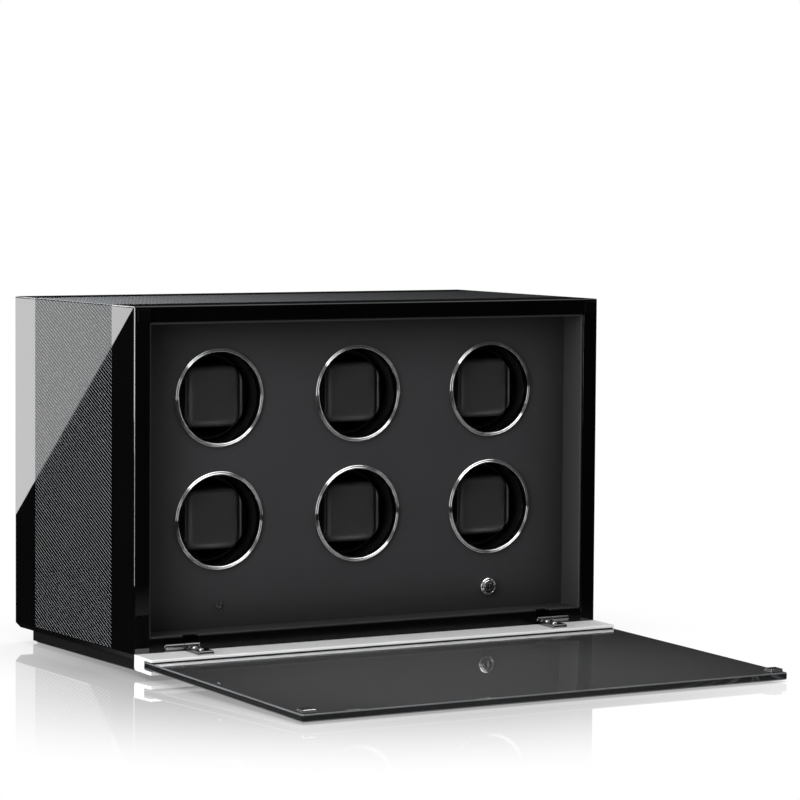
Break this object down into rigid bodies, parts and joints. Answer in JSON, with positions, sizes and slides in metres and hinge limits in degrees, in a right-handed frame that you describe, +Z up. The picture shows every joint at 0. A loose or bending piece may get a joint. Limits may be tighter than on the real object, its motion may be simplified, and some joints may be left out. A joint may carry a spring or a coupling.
{
  "type": "watch winder box",
  "caption": "Watch winder cabinet: gloss black box with carbon bands, round rotor stations with cushions in chrome bezels and a bottom-hinged smoked glass door.",
  "frame": {"origin": "centre of the base pad's underside, under the middle of the cabinet", "axes": "+X to the right seen from the front, +Y to the back, +Z up; the door lies open towards -Y"},
  "size_m": [0.48, 0.5422, 0.319],
  "materials": {
    "lacquer": "gloss black piano lacquer over MDF",
    "plinth_black": "satin black",
    "pad": "matte",
    "carbon": "carbon twill under gloss lacquer",
    "cover_board": "satin black board",
    "steel": "satin",
    "leatherette": "fine grained black leatherette",
    "chrome": "polished",
    "black_gloss": "gloss black",
    "mech_board": "matte",
    "brass": "satin",
    "belt": "matte",
    "board": "solder mask green",
    "black_plastic": "fine texture",
    "window": "dark translucent",
    "hinge_black": "satin black",
    "magnet": "satin",
    "smoked_glass": "smoked, polished",
    "aluminium": "satin anodised",
    "gasket": "matte",
    "cushion_leather": "soft black leatherette over foam",
    "pulley_plastic": "natural"
  },
  "bodies": {
    "cabinet": {"base_pad": "pad", "base_plinth": "plinth_black", "bottom_panel": "lacquer", "left_side_panel": "lacquer", "right_side_panel": "lacquer", "top_panel": "lacquer", "carbon_inlay_left": "carbon", "carbon_inlay_right": "carbon", "carbon_inlay_top": "carbon", "rear_cover": "cover_board", "rear_cover_screws": "steel", "recess_liner": "leatherette", "front_panel": "leatherette", "bezel_rings": "chrome", "rotor_sleeves": "black_gloss", "mechanism_plate": "mech_board", "mechanism_plate_screws": "steel", "shaft_bushes": "brass", "gear_motors": "steel", "drive_belts": "belt", "control_board": "board", "board_standoffs": "brass", "dc_inlet": "black_plastic", "switch_body": "chrome", "indicator_window": "window", "hinge_cabinet_leaves": "hinge_black", "hinge_cabinet_screws": "steel", "catch_magnets": "magnet"},
    "door": {"door_glass": "smoked_glass", "door_profile": "aluminium", "glass_gasket": "gasket", "hinge_door_leaves": "hinge_black", "hinge_pins": "steel", "hinge_leaf_screws": "steel", "catch_plates": "steel"},
    "push_button": {"push_button": "chrome"},
    "rotor_1": {"rotor_1": "black_gloss"},
    "cushion_1": {"cushion_1": "cushion_leather", "end_plates_1": "black_plastic"},
    "motor_pulley_1": {"motor_pulley_1": "pulley_plastic"},
    "rotor_2": {"rotor_2": "black_gloss"},
    "cushion_2": {"cushion_2": "cushion_leather", "end_plates_2": "black_plastic"},
    "motor_pulley_2": {"motor_pulley_2": "pulley_plastic"},
    "rotor_3": {"rotor_3": "black_gloss"},
    "cushion_3": {"cushion_3": "cushion_leather", "end_plates_3": "black_plastic"},
    "motor_pulley_3": {"motor_pulley_3": "pulley_plastic"},
    "rotor_4": {"rotor_4": "black_gloss"},
    "cushion_4": {"cushion_4": "cushion_leather", "end_plates_4": "black_plastic"},
    "motor_pulley_4": {"motor_pulley_4": "pulley_plastic"},
    "rotor_5": {"rotor_5": "black_gloss"},
    "cushion_5": {"cushion_5": "cushion_leather", "end_plates_5": "black_plastic"},
    "motor_pulley_5": {"motor_pulley_5": "pulley_plastic"},
    "rotor_6": {"rotor_6": "black_gloss"},
    "cushion_6": {"cushion_6": "cushion_leather", "end_plates_6": "black_plastic"},
    "motor_pulley_6": {"motor_pulley_6": "pulley_plastic"}
  },
  "joints": [
    {"name": "door_hinge", "type": "hinge", "parent": "cabinet", "child": "door", "pos_m": [0, -0.121, 0.0222], "axis": [-1, 0, 0], "range_deg": [0, 91.4]},
    {"name": "button_press", "type": "slide", "parent": "cabinet", "child": "push_button", "axis": [0, 1, 0], "range_m": [0, 0.0015], "stiffness_N_per_m": 300},
    {"name": "rotor_spin_1", "type": "hinge", "parent": "cabinet", "child": "rotor_1", "pos_m": [-0.1413, 0, 0.23595], "axis": [0, 1, 0], "continuous": true},
    {"name": "motor_spin_1", "type": "hinge", "parent": "cabinet", "child": "motor_pulley_1", "pos_m": [-0.0863, 0, 0.23595], "axis": [0, 1, 0], "continuous": true},
    {"name": "cushion_pull_1", "type": "slide", "parent": "rotor_1", "child": "cushion_1", "axis": [0, -1, 0], "range_m": [0, 0.036]},
    {"name": "rotor_spin_2", "type": "hinge", "parent": "cabinet", "child": "rotor_2", "pos_m": [0, 0, 0.23595], "axis": [0, 1, 0], "continuous": true},
    {"name": "motor_spin_2", "type": "hinge", "parent": "cabinet", "child": "motor_pulley_2", "pos_m": [0.055, 0, 0.23595], "axis": [0, 1, 0], "continuous": true},
    {"name": "cushion_pull_2", "type": "slide", "parent": "rotor_2", "child": "cushion_2", "axis": [0, -1, 0], "range_m": [0, 0.036]},
    {"name": "rotor_spin_3", "type": "hinge", "parent": "cabinet", "child": "rotor_3", "pos_m": [0.1413, 0, 0.23595], "axis": [0, 1, 0], "continuous": true},
    {"name": "motor_spin_3", "type": "hinge", "parent": "cabinet", "child": "motor_pulley_3", "pos_m": [0.1963, 0, 0.23595], "axis": [0, 1, 0], "continuous": true},
    {"name": "cushion_pull_3", "type": "slide", "parent": "rotor_3", "child": "cushion_3", "axis": [0, -1, 0], "range_m": [0, 0.036]},
    {"name": "rotor_spin_4", "type": "hinge", "parent": "cabinet", "child": "rotor_4", "pos_m": [-0.1413, 0, 0.12705], "axis": [0, 1, 0], "continuous": true},
    {"name": "motor_spin_4", "type": "hinge", "parent": "cabinet", "child": "motor_pulley_4", "pos_m": [-0.0863, 0, 0.12705], "axis": [0, 1, 0], "continuous": true},
    {"name": "cushion_pull_4", "type": "slide", "parent": "rotor_4", "child": "cushion_4", "axis": [0, -1, 0], "range_m": [0, 0.036]},
    {"name": "rotor_spin_5", "type": "hinge", "parent": "cabinet", "child": "rotor_5", "pos_m": [0, 0, 0.12705], "axis": [0, 1, 0], "continuous": true},
    {"name": "motor_spin_5", "type": "hinge", "parent": "cabinet", "child": "motor_pulley_5", "pos_m": [0.055, 0, 0.12705], "axis": [0, 1, 0], "continuous": true},
    {"name": "cushion_pull_5", "type": "slide", "parent": "rotor_5", "child": "cushion_5", "axis": [0, -1, 0], "range_m": [0, 0.036]},
    {"name": "rotor_spin_6", "type": "hinge", "parent": "cabinet", "child": "rotor_6", "pos_m": [0.1413, 0, 0.12705], "axis": [0, 1, 0], "continuous": true},
    {"name": "motor_spin_6", "type": "hinge", "parent": "cabinet", "child": "motor_pulley_6", "pos_m": [0.1963, 0, 0.12705], "axis": [0, 1, 0], "continuous": true},
    {"name": "cushion_pull_6", "type": "slide", "parent": "rotor_6", "child": "cushion_6", "axis": [0, -1, 0], "range_m": [0, 0.036]}
  ],
  "couplings": [
    {"joint": "motor_spin_1", "follows": "rotor_spin_1", "ratio": 4},
    {"joint": "motor_spin_2", "follows": "rotor_spin_2", "ratio": 4},
    {"joint": "motor_spin_3", "follows": "rotor_spin_3", "ratio": 4},
    {"joint": "motor_spin_4", "follows": "rotor_spin_4", "ratio": 4},
    {"joint": "motor_spin_5", "follows": "rotor_spin_5", "ratio": 4},
    {"joint": "motor_spin_6", "follows": "rotor_spin_6", "ratio": 4}
  ]
}
